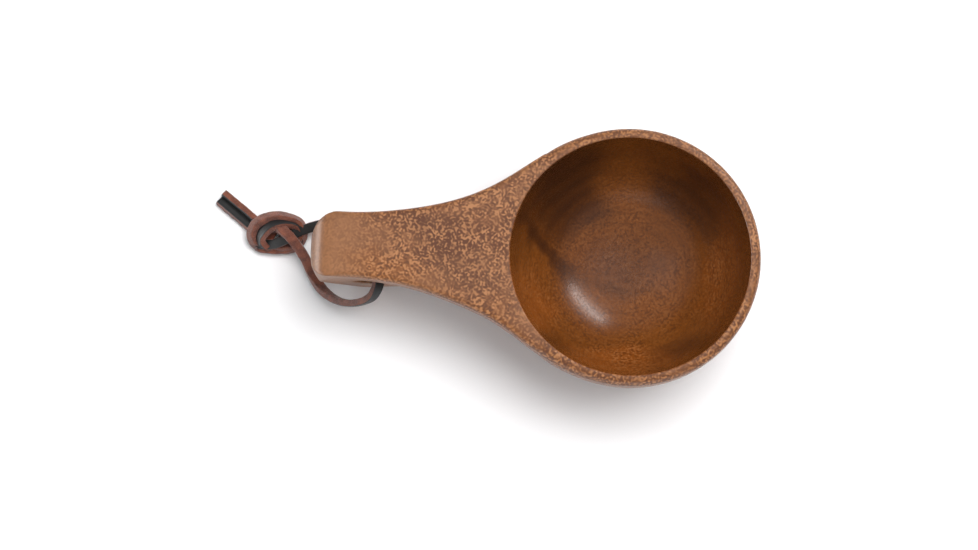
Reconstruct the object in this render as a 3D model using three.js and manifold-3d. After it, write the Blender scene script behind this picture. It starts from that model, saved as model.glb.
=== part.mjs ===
// Kuksa: a drinking cup carved from one block of wood, with a leather lace tied through its finger hole.
// Millimetres, +Z up. The origin is the centre of the flat foot, and the handle points along -X.

import * as THREE from 'three';
import { mergeVertices } from 'three/addons/utils/BufferGeometryUtils.js';
import Module from 'manifold-3d';

// Bowl
const CUP_HEIGHT = 50; // foot to rim
const MOUTH_RADIUS = 45; // opening at the rim
const RIM_THICKNESS = 4; // wall at the rim, out to the widest part of the outer wall
const FLOOR_THICKNESS = 6; // wood under the lowest point of the inside
const WIDEST_DROP = 5; // the widest level of the outer wall, below the rim
const FOOT_RADIUS = 19; // flat that the cup stands on
const BOWL_FULLNESS = 2.2; // exponent of the inside's section, 2 is an ellipse and more is fuller
const EDGE_ROUNDING = 2; // on the outer edges of the rim and the handle

// Handle, seen from above
const HANDLE_LENGTH = 71.2; // bowl's outer wall to the tip
const HANDLE_WIDTH = 25; // at its narrowest
const WAIST_SETBACK = 13; // narrowest place, in from the tip
const END_CORNER_RADIUS = 6.8; // plan corner of the tip on the -Y side
const BACK_CORNER_RADIUS = 11.5; // plan corner of the tip on the +Y side
const END_CROWN_RADIUS = 42; // slight swell of the end face between those corners

// Handle, seen from the side: a slab on top, and a ring below it that the finger goes through
const SLAB_THICKNESS = 8.5;
const END_TOP_ROUNDING = 6; // where the top turns down into the end face
const HEEL_WIDTH = 17; // the ring narrows evenly down to this
const HEEL_LENGTH = 13.5; // flat under the ring that stands on the table
const HEEL_SETBACK = 29; // bowl-side end of that flat, in from the tip
const HEEL_ROUNDING = 2.5; // at the bowl-side end of the heel
const ARM_THICKNESS = 12; // of the arm under the hole, which joins the ring to the bowl
const ARM_SWEEP = 10; // length over which the heel rises into the underside of the arm
const HOLE_HEIGHT = 16; // its ends are half circles
const HOLE_LENGTH = 37;
const END_WALL = 16.5; // wood between the tip and the hole

// Lace
const LACE_DIAMETER = 3.4;
const FACE_GAP = 0.3; // kept between pieces that touch
const KNOT_SIZE = new THREE.Vector3(22, 16, 10.4);
const KNOT_CENTRE = new THREE.Vector3(-137.2, 12, 5.3);

// Centre lines of the lace, from the middle of the finger hole to the knot, and from the knot to the free ends
const FRONT_STRAND = [
  [-94.6, -0.2, 27.6],
  [-94.6, -6.8, 27.6],
  [-95, -13, 27.6],
  [-97.2, -16.5, 24.9],
  [-101.5, -18, 19.9],
  [-107.2, -17.7, 13.9],
  [-113.2, -16.4, 8.8],
  [-118.4, -13.8, 5.2],
  [-122.9, -7.4, 4],
  [-126.8, 0.4, 4.6],
  [-130.2, 6.3, 5],
];
const BACK_STRAND = [
  [-94.6, 0.2, 27.6],
  [-94.6, 7.6, 27.6],
  [-94.9, 12.6, 27.5],
  [-97.4, 14.8, 24.4],
  [-102.4, 16, 19],
  [-108.4, 16.4, 13],
  [-114.4, 16.2, 8.2],
  [-120, 15.2, 5.4],
  [-125.2, 13.9, 4.6],
  [-129.4, 12.7, 4.6],
];
const BACK_TAIL = [
  [-142.4, 14.1, 2.4],
  [-146.8, 17.6, 2.2],
  [-152.8, 22.4, 2.1],
  [-159, 27.4, 2.1],
];
const FRONT_TAIL = [
  [-144.6, 10.9, 2.2],
  [-149, 14.4, 2],
  [-155.2, 19.3, 1.8],
  [-161.2, 24.1, 1.8],
];

// Sizes that follow from the ones above
const BOWL_RADIUS = MOUTH_RADIUS + RIM_THICKNESS;
const BOWL_DEPTH = CUP_HEIGHT - FLOOR_THICKNESS;
const HANDLE_REACH = BOWL_RADIUS + HANDLE_LENGTH; // bowl's axis to the tip
const HALF_WIDTH = HANDLE_WIDTH / 2;
const WAIST_X = WAIST_SETBACK - HANDLE_REACH;
const WIDEST_LEVEL = CUP_HEIGHT - WIDEST_DROP;
const FOOT_ANGLE = Math.acos(FOOT_RADIUS / BOWL_RADIUS);
const OUTER_DROP = WIDEST_LEVEL / Math.sin(FOOT_ANGLE); // vertical half axis of the outer wall's ellipse
const HOLE_TOP = CUP_HEIGHT - SLAB_THICKNESS;
const ARM_UNDERSIDE = HOLE_TOP - HOLE_HEIGHT - ARM_THICKNESS;
const JOIN_DEPTH = 17; // how far the handle's solids run into the bowl's wall
const CUT_MARGIN = 1; // how far a cutting solid runs past what it cuts
const BOWL_SEGMENTS = 56;
const PROFILE_STEPS = 13;
const CURVE_SEGMENTS = 8;

const wasm = await Module();
wasm.setup();

// A closed geometry as a solid. Triangles that a lathe folds flat onto its axis are left out.
function solid(geometry) {
  const bare = geometry.clone();
  bare.deleteAttribute('normal');
  bare.deleteAttribute('uv');
  const merged = mergeVertices(bare, 1e-4);
  const corners = [];
  for (let i = 0; i < merged.index.count; i += 3) {
    const [a, b, c] = merged.index.array.slice(i, i + 3);
    if (a !== b && b !== c && c !== a) corners.push(a, b, c);
  }
  return new wasm.Manifold(new wasm.Mesh({
    numProp: 3,
    vertProperties: new Float32Array(merged.attributes.position.array),
    triVerts: new Uint32Array(corners),
  }));
}

function geometryOf(manifold) {
  const mesh = manifold.getMesh();
  const geometry = new THREE.BufferGeometry();
  geometry.setAttribute('position', new THREE.BufferAttribute(new Float32Array(mesh.vertProperties), 3));
  geometry.setIndex(new THREE.BufferAttribute(new Uint32Array(mesh.triVerts), 1));
  geometry.computeVertexNormals();
  return geometry;
}

// The block of the bowl before it is hollowed: flat foot, round wall, rounded shoulder, flat rim.
function bowlBlock() {
  const points = [new THREE.Vector2(0, 0)];
  for (let i = PROFILE_STEPS; i >= 0; i -= 1) {
    const angle = (FOOT_ANGLE * i) / PROFILE_STEPS;
    points.push(new THREE.Vector2(BOWL_RADIUS * Math.cos(angle), WIDEST_LEVEL - OUTER_DROP * Math.sin(angle)));
  }
  const shoulder = new THREE.Vector2(BOWL_RADIUS - EDGE_ROUNDING, CUP_HEIGHT - EDGE_ROUNDING);
  for (const turn of [0, 30, 60, 90]) {
    const angle = THREE.MathUtils.degToRad(turn);
    points.push(new THREE.Vector2(
      shoulder.x + EDGE_ROUNDING * Math.cos(angle),
      shoulder.y + EDGE_ROUNDING * Math.sin(angle),
    ));
  }
  points.push(new THREE.Vector2(0, CUP_HEIGHT));
  return new THREE.LatheGeometry(points, BOWL_SEGMENTS).rotateX(Math.PI / 2);
}

// The hollow of the bowl, which runs up past the rim.
function bowlHollow() {
  const points = [new THREE.Vector2(0, CUP_HEIGHT - BOWL_DEPTH)];
  for (let i = PROFILE_STEPS - 1; i >= 0; i -= 1) {
    const angle = (Math.PI / 2) * (i / PROFILE_STEPS);
    points.push(new THREE.Vector2(
      MOUTH_RADIUS * Math.cos(angle) ** (2 / BOWL_FULLNESS),
      CUP_HEIGHT - BOWL_DEPTH * Math.sin(angle) ** (2 / BOWL_FULLNESS),
    ));
  }
  points.push(new THREE.Vector2(MOUTH_RADIUS, CUP_HEIGHT + CUT_MARGIN));
  points.push(new THREE.Vector2(0, CUP_HEIGHT + CUT_MARGIN));
  return new THREE.LatheGeometry(points, BOWL_SEGMENTS).rotateX(Math.PI / 2);
}

// The handle's outline from above. Each flare arc runs from the waist, where it is parallel to the handle,
// to the bowl's circle, which it is tangent to. Each corner arc is tangent to the side and to the crowned end.
// The outline closes straight across the bowl.
function planOutline() {
  const flareRadius = (WAIST_X ** 2 + HALF_WIDTH ** 2 - BOWL_RADIUS ** 2) / (2 * (BOWL_RADIUS - HALF_WIDTH));
  const flareY = HALF_WIDTH + flareRadius;
  const meet = Math.atan2(flareY, -WAIST_X);
  const crownX = END_CROWN_RADIUS - HANDLE_REACH;
  const [back, front] = [BACK_CORNER_RADIUS, END_CORNER_RADIUS].map((radius) => {
    const y = HALF_WIDTH - radius;
    const lean = Math.asin(y / (END_CROWN_RADIUS - radius));
    return { x: crownX - (END_CROWN_RADIUS - radius) * Math.cos(lean), y, radius, lean };
  });
  const shape = new THREE.Shape();
  shape.absarc(WAIST_X, flareY, flareRadius, -meet, -Math.PI / 2, true);
  shape.absarc(back.x, back.y, back.radius, Math.PI / 2, Math.PI - back.lean, false);
  shape.absarc(crownX, 0, END_CROWN_RADIUS, Math.PI - back.lean, Math.PI + front.lean, false);
  shape.absarc(front.x, -front.y, front.radius, Math.PI + front.lean, 1.5 * Math.PI, false);
  shape.absarc(WAIST_X, -flareY, flareRadius, Math.PI / 2, meet, true);
  return shape;
}

// The handle's outline from the side, x to the right and z up: the end face leans in down to the heel,
// and the heel sweeps up into the underside of the arm.
function sideOutline() {
  const inner = JOIN_DEPTH - BOWL_RADIUS;
  const heelEnd = HEEL_SETBACK - HANDLE_REACH;
  const heelStart = heelEnd - HEEL_LENGTH;
  const faceTop = CUP_HEIGHT - END_TOP_ROUNDING;
  const shape = new THREE.Shape();
  shape.moveTo(inner, CUP_HEIGHT);
  shape.lineTo(END_TOP_ROUNDING - HANDLE_REACH, CUP_HEIGHT);
  shape.absarc(END_TOP_ROUNDING - HANDLE_REACH, faceTop, END_TOP_ROUNDING, Math.PI / 2, Math.PI, false);
  shape.bezierCurveTo(
    -HANDLE_REACH, faceTop * 0.6,
    (heelStart - HANDLE_REACH) / 2 - 1, faceTop * 0.18,
    heelStart, 0,
  );
  shape.lineTo(heelEnd - HEEL_ROUNDING, 0);
  shape.absarc(heelEnd - HEEL_ROUNDING, HEEL_ROUNDING, HEEL_ROUNDING, -Math.PI / 2, 0, false);
  shape.quadraticCurveTo(heelEnd, ARM_UNDERSIDE, heelEnd + ARM_SWEEP, ARM_UNDERSIDE);
  shape.lineTo(inner, ARM_UNDERSIDE);
  return shape;
}

// The finger hole, from the side.
function fingerHole() {
  const radius = HOLE_HEIGHT / 2;
  const level = HOLE_TOP - radius;
  const left = END_WALL - HANDLE_REACH + radius;
  const right = left + HOLE_LENGTH - HOLE_HEIGHT;
  const hole = new THREE.Path();
  hole.absarc(left, level, radius, Math.PI / 2, 1.5 * Math.PI, false);
  hole.absarc(right, level, radius, -Math.PI / 2, Math.PI / 2, false);
  return hole;
}

// Extrudes a side outline along Y, centred on the handle's middle plane, with its edges rounded or left square.
function acrossHandle(shape, width, rounding) {
  const geometry = new THREE.ExtrudeGeometry(shape, {
    depth: width - 2 * rounding,
    curveSegments: CURVE_SEGMENTS,
    bevelEnabled: rounding > 0,
    bevelThickness: rounding,
    bevelSize: rounding,
    bevelOffset: -rounding,
    bevelSegments: 2,
  });
  return geometry.rotateX(Math.PI / 2).translate(0, width / 2 - rounding, 0);
}

// A long wedge, narrow at the table, that the ring is cut down to.
function ringTaper() {
  const rise = (HALF_WIDTH - HEEL_WIDTH / 2) / HOLE_TOP;
  const foot = HEEL_WIDTH / 2 - rise * CUT_MARGIN;
  const top = foot + rise * (CUP_HEIGHT + 2 * CUT_MARGIN);
  const shape = new THREE.Shape();
  shape.moveTo(-foot, -CUT_MARGIN);
  shape.lineTo(foot, -CUT_MARGIN);
  shape.lineTo(top, CUP_HEIGHT + CUT_MARGIN);
  shape.lineTo(-top, CUP_HEIGHT + CUT_MARGIN);
  const geometry = new THREE.ExtrudeGeometry(shape, { depth: HANDLE_REACH, bevelEnabled: false });
  return geometry.rotateX(Math.PI / 2).rotateZ(Math.PI / 2).translate(-HANDLE_REACH - CUT_MARGIN, 0, 0);
}

function carvedCup() {
  const plan = planOutline();
  const slab = new THREE.ExtrudeGeometry(plan, {
    depth: SLAB_THICKNESS - 2 * EDGE_ROUNDING,
    curveSegments: CURVE_SEGMENTS,
    bevelThickness: EDGE_ROUNDING,
    bevelSize: EDGE_ROUNDING,
    bevelOffset: -EDGE_ROUNDING,
    bevelSegments: 2,
  }).translate(0, 0, HOLE_TOP + EDGE_ROUNDING);
  const footprint = new THREE.ExtrudeGeometry(plan, {
    depth: CUP_HEIGHT + 2 * CUT_MARGIN,
    curveSegments: CURVE_SEGMENTS,
    bevelEnabled: false,
  }).translate(0, 0, -CUT_MARGIN);
  const pierced = sideOutline();
  pierced.holes.push(fingerHole());
  const ring = solid(acrossHandle(pierced, HANDLE_WIDTH, EDGE_ROUNDING))
    .intersect(solid(footprint))
    .intersect(solid(ringTaper()));
  const envelope = solid(acrossHandle(sideOutline(), 2 * BOWL_RADIUS, 0));
  const handle = solid(slab).intersect(envelope).add(ring);
  return geometryOf(solid(bowlBlock()).add(handle).subtract(solid(bowlHollow())));
}

// A length of lace along a centre line.
function laceLength(points, steps) {
  const section = new THREE.Shape();
  const sides = 8;
  for (let i = 0; i < sides; i += 1) {
    const angle = (2 * Math.PI * (i + 0.5)) / sides;
    const x = (LACE_DIAMETER / 2) * Math.cos(angle);
    const y = (LACE_DIAMETER / 2) * Math.sin(angle);
    if (i === 0) section.moveTo(x, y);
    else section.lineTo(x, y);
  }
  const path = new THREE.CatmullRomCurve3(points.map((p) => new THREE.Vector3(...p)), false, 'centripetal');
  return new THREE.ExtrudeGeometry(section, { steps, bevelEnabled: false, extrudePath: path });
}

// A strand or a free end, cut back to leave the face gap to the knot.
function laceClearOfKnot(points, steps) {
  const room = new THREE.SphereGeometry(1, 24, 16);
  room.scale(...KNOT_SIZE.clone().multiplyScalar(0.5).addScalar(FACE_GAP).toArray());
  room.translate(...KNOT_CENTRE.toArray());
  return geometryOf(solid(laceLength(points, steps)).subtract(solid(room)));
}

function piece(name, geometry, material) {
  const mesh = new THREE.Mesh(geometry, material);
  mesh.name = name;
  return mesh;
}

function leather(colour) {
  return new THREE.MeshStandardMaterial({ color: colour, roughness: 0.85, metalness: 0 });
}

const wood = new THREE.MeshStandardMaterial({ color: 0x8f6239, roughness: 0.42, metalness: 0 });
const knotBody = new THREE.SphereGeometry(0.5, 18, 12).scale(...KNOT_SIZE.toArray());

const kuksa = new THREE.Group();
kuksa.add(piece('cup', carvedCup(), wood));

const lace = new THREE.Group();
lace.add(piece('lace_front_strand', laceClearOfKnot(FRONT_STRAND, 16), leather(0x7a4a3a)));
lace.add(piece('lace_back_strand', laceClearOfKnot(BACK_STRAND, 16), leather(0x774838)));
lace.add(piece('lace_front_tail', laceClearOfKnot(FRONT_TAIL, 5), leather(0x7a4a3a)));
lace.add(piece('lace_back_tail', laceClearOfKnot(BACK_TAIL, 5), leather(0x774838)));
const knot = piece('lace_knot', knotBody, leather(0x6f4334));
knot.position.copy(KNOT_CENTRE);
lace.add(knot);
kuksa.add(lace);

export default kuksa;
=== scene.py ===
"""A kuksa: a drinking cup carved from one block of wood, with a leather lace tied through its finger hole.

Everything is in metres in the model's own frame: the origin is the centre of the foot, +Z is up and the
handle points along -X. Sizes of the cup are given in millimetres, as in the model's source, and scaled by MM.
"""

import logging
import math
from dataclasses import dataclass
from enum import Enum
from typing import Any, Callable, Mapping, Sequence

import bpy
import numpy as np
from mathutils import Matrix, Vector


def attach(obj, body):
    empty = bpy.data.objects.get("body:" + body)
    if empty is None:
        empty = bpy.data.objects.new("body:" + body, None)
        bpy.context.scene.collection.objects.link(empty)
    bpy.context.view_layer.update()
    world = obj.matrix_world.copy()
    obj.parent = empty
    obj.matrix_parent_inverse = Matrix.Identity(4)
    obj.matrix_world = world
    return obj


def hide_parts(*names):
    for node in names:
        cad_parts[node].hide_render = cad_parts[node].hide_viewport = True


MM = 0.001
PER_MM = 1000.0
LOG = logging.getLogger("kuksa")

Triple = tuple[float, float, float]
Colour = Triple
Points = np.ndarray
Field = Callable[[Points], np.ndarray]

# Sockets of the Mix node that take and give colours.
MIX_FIRST, MIX_SECOND, MIX_RESULT = 6, 7, 2

# How a meshed surface is settled onto its field: rounds, probe in mm, flattest slope, longest step in mm.
SETTLE_ROUNDS = 3
PROBE = 0.05
FLATTEST = 0.2
LONGEST_STEP = 0.4

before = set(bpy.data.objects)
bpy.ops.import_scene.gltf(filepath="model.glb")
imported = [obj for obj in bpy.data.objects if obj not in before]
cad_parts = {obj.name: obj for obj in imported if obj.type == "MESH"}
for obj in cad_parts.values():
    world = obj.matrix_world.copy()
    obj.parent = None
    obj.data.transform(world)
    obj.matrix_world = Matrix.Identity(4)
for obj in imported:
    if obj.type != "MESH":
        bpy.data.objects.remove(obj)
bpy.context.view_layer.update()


# ---------------------------------------------------------------------------------------------- shader graph


class Signal:
    """A socket of a node tree. Python's arithmetic on it adds Math nodes."""

    def __init__(self, graph: "Graph", socket: bpy.types.NodeSocket) -> None:
        """Wraps a socket.

        Args:
            graph: The graph that the socket is in.
            socket: The output socket to read from.
        """
        self.graph = graph
        self.socket = socket

    def _math(self, operation: str, *values: Any) -> "Signal":
        """Adds a Math node.

        Args:
            operation: The node's operation.
            *values: Signals or numbers, in the order of the node's inputs.

        Returns:
            The node's result.
        """
        return self.graph.node("ShaderNodeMath", {"operation": operation}, dict(enumerate(values)))

    def __add__(self, other: Any) -> "Signal":
        """Sum."""
        return self._math("ADD", self, other)

    def __radd__(self, other: Any) -> "Signal":
        """Sum, with the number first."""
        return self._math("ADD", other, self)

    def __sub__(self, other: Any) -> "Signal":
        """Difference."""
        return self._math("SUBTRACT", self, other)

    def __rsub__(self, other: Any) -> "Signal":
        """Difference, with the number first."""
        return self._math("SUBTRACT", other, self)

    def __mul__(self, other: Any) -> "Signal":
        """Product."""
        return self._math("MULTIPLY", self, other)

    def __rmul__(self, other: Any) -> "Signal":
        """Product, with the number first."""
        return self._math("MULTIPLY", other, self)

    def __truediv__(self, other: Any) -> "Signal":
        """Quotient."""
        return self._math("DIVIDE", self, other)

    def __pow__(self, other: Any) -> "Signal":
        """Power."""
        return self._math("POWER", self, other)

    def magnitude(self) -> "Signal":
        """Absolute value."""
        return self._math("ABSOLUTE", self)

    def root(self) -> "Signal":
        """Square root."""
        return self._math("SQRT", self)

    def at_least(self, lowest: float) -> "Signal":
        """The value, or the lowest one where it is below that."""
        return self._math("MAXIMUM", self, lowest)

    def step(self, low: float, high: float) -> "Signal":
        """Rises smoothly from 0 at low to 1 at high, or falls if low is above high.

        Args:
            low: The value that gives 0.
            high: The value that gives 1.

        Returns:
            The smoothed step.
        """
        ends = (low, high, 0.0, 1.0) if low < high else (high, low, 1.0, 0.0)
        names = ("From Min", "From Max", "To Min", "To Max")
        return self.graph.node(
            "ShaderNodeMapRange",
            {"interpolation_type": "SMOOTHSTEP"},
            {"Value": self, **dict(zip(names, ends))},
        )


class Graph:
    """A material's node tree with one Principled shader."""

    def __init__(self, name: str) -> None:
        """Makes an empty material.

        Args:
            name: The material's name.
        """
        self.material = bpy.data.materials.new(name)
        self.material.use_nodes = True
        self.tree = self.material.node_tree
        self.tree.nodes.clear()

    def make(self, kind: str, settings: Mapping[str, Any], values: Mapping[Any, Any]) -> bpy.types.Node:
        """Adds a node.

        Args:
            kind: The node's type.
            settings: The node's own settings, which are set first.
            values: Values or signals by socket name or number.

        Returns:
            The node.
        """
        node = self.tree.nodes.new(kind)
        for key, value in settings.items():
            setattr(node, key, value)
        for key, value in values.items():
            if isinstance(value, Signal):
                self.tree.links.new(value.socket, node.inputs[key])
            else:
                node.inputs[key].default_value = value
        return node

    def node(
        self, kind: str, settings: Mapping[str, Any], values: Mapping[Any, Any], output: Any = 0
    ) -> Signal:
        """Adds a node and gives one of its outputs.

        Args:
            kind: The node's type.
            settings: As make takes them.
            values: As make takes them.
            output: The output's name or number.

        Returns:
            That output.
        """
        return Signal(self, self.make(kind, settings, values).outputs[output])

    def vector(self, operation: str, *values: Any) -> Signal:
        """Adds a Vector Math node.

        Args:
            operation: The node's operation.
            *values: Signals or triples, in the order of the node's inputs.

        Returns:
            The resulting vector.
        """
        return self.node("ShaderNodeVectorMath", {"operation": operation}, dict(enumerate(values)))

    def scaled(self, vector: Signal, factor: float) -> Signal:
        """The vector times a number."""
        return self.node("ShaderNodeVectorMath", {"operation": "SCALE"}, {0: vector, "Scale": factor})

    def mix(self, factor: Any, first: Any, second: Any) -> Signal:
        """Mixes two colours.

        Args:
            factor: How much of the second one, from 0 to 1.
            first: A signal or a linear colour.
            second: A signal or a linear colour.

        Returns:
            The mixed colour.
        """
        pair = [value if isinstance(value, Signal) else (*value, 1.0) for value in (first, second)]
        settings = {"data_type": "RGBA", "clamp_factor": True}
        values = {0: factor, MIX_FIRST: pair[0], MIX_SECOND: pair[1]}
        return self.node("ShaderNodeMix", settings, values, MIX_RESULT)

    def place(self) -> Signal:
        """Coordinates in millimetres, in the model's frame."""
        metres = self.node("ShaderNodeTexCoord", {}, {}, "Object")
        return self.scaled(metres, PER_MM)

    def noise(
        self, at: Signal, scale: float, detail: float = 2.0, rough: float = 0.5, output: Any = 0
    ) -> Signal:
        """Smooth noise.

        Args:
            at: Where it is read.
            scale: Features per millimetre.
            detail: Octaves.
            rough: Strength of the finer octaves.
            output: 0 for a value around 0.5, or "Color" for three.

        Returns:
            The noise.
        """
        values = {"Vector": at, "Scale": scale, "Detail": detail, "Roughness": rough}
        return self.node("ShaderNodeTexNoise", {}, values, output)

    def wander(self, at: Signal, scale: float, detail: float) -> Signal:
        """A noisy direction, with each part from -0.5 to 0.5, that bends a pattern.

        Args:
            at: Where it is read.
            scale: Features per millimetre.
            detail: Octaves.

        Returns:
            The direction.
        """
        return self.vector("SUBTRACT", self.noise(at, scale, detail, output="Color"), (0.5, 0.5, 0.5))

    def finish(
        self, values: Mapping[str, Any], height: Signal | None = None, depth: float = 0.0
    ) -> bpy.types.Material:
        """Closes the tree with its shader.

        Args:
            values: Values or signals of the Principled shader's sockets.
            height: The relief that tilts the surface, from 0 to 1.
            depth: The relief's depth in metres.

        Returns:
            The finished material.
        """
        shader = self.make("ShaderNodeBsdfPrincipled", {}, values)
        if height is not None:
            relief = {"Height": height, "Distance": depth, "Strength": 1.0}
            bump = self.node("ShaderNodeBump", {}, relief)
            self.tree.links.new(bump.socket, shader.inputs["Normal"])
        self.make("ShaderNodeOutputMaterial", {}, {"Surface": Signal(self, shader.outputs[0])})
        return self.material


def linear(red: int, green: int, blue: int) -> Colour:
    """A display colour as the linear one that shaders use.

    Args:
        red: From 0 to 255.
        green: From 0 to 255.
        blue: From 0 to 255.

    Returns:
        The linear colour.
    """
    shares = (channel / 255 for channel in (red, green, blue))
    return tuple(s / 12.92 if s <= 0.04045 else ((s + 0.055) / 1.055) ** 2.4 for s in shares)


# -------------------------------------------------------------------------------------------------- finishes


@dataclass(frozen=True)
class Blotch:
    """A cloudy patch in the wood's colour, for figure and in some lists for painted light and shade: an oval
    seen from above, turned by some degrees, in millimetres.

    Its middle's level and its reach up and down make it go right through the cup.
    """

    centre: tuple[float, float]
    reach: tuple[float, float]
    turn: float
    strength: float
    level: float = 20.0
    rise: float = 90.0


@dataclass(frozen=True)
class Hollows:
    """Where the cup is hollow, in millimetres: the bowl, and the finger hole.

    The hole is given by its middle in X and Z, half the length of its straight part, the radius of its ends,
    and how far to each side the painted shade on its inside reaches.
    """

    mouth_radius: float
    bowl_depth: float
    fullness: float
    rim: float
    hole_middle: tuple[float, float]
    hole_straight: float
    hole_radius: float
    hole_reach: float = 11.5


SHADED = (
    Blotch((-69.0, 4.0), (24.0, 8.5), -39.0, 0.75),
    Blotch((-58.0, -12.0), (22.0, 6.0), -28.0, 0.5),
    Blotch((-84.0, 11.0), (16.0, 3.0), 0.0, 0.3),
)
GILDED = (
    Blotch((-90.0, -9.0), (17.0, 6.0), -6.0, 0.8),
    Blotch((-48.0, -24.0), (16.0, 7.0), -40.0, 0.5),
)
# Darker clouds in the bowl: partly heartwood, and partly painted shade on the bowl's back wall (+Y), which
# faces away from the light.
DARK_HEART_AND_SHADE = (
    Blotch((-27.0, 30.0), (27.0, 19.0), 38.0, 0.95),
    Blotch((2.0, 4.0), (26.0, 18.0), 20.0, 0.4),
    Blotch((-12.0, 22.0), (13.0, 8.0), 10.0, 0.55),
    Blotch((-31.0, 6.0), (19.0, 4.5), -44.0, 0.8),
    Blotch((22.0, 28.0), (21.0, 9.0), -42.0, 0.75),
    Blotch((22.0, -31.0), (16.0, 5.0), 32.0, 0.45),
    Blotch((-25.0, -30.0), (11.0, 4.0), -42.0, 0.5),
    Blotch((-3.0, -8.0), (20.0, 3.5), -8.0, 0.4),
)
# Amber clouds in the bowl: partly the wood's own colour, and partly painted light on the front and left
# walls, which face the light.
AMBER_AND_LIGHT = (
    Blotch((-38.0, -17.0), (13.0, 20.0), 22.0, 0.9),
    Blotch((-4.0, -39.0), (32.0, 10.0), 0.0, 0.8),
    Blotch((38.0, -4.0), (10.0, 24.0), 0.0, 0.6),
)


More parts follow.
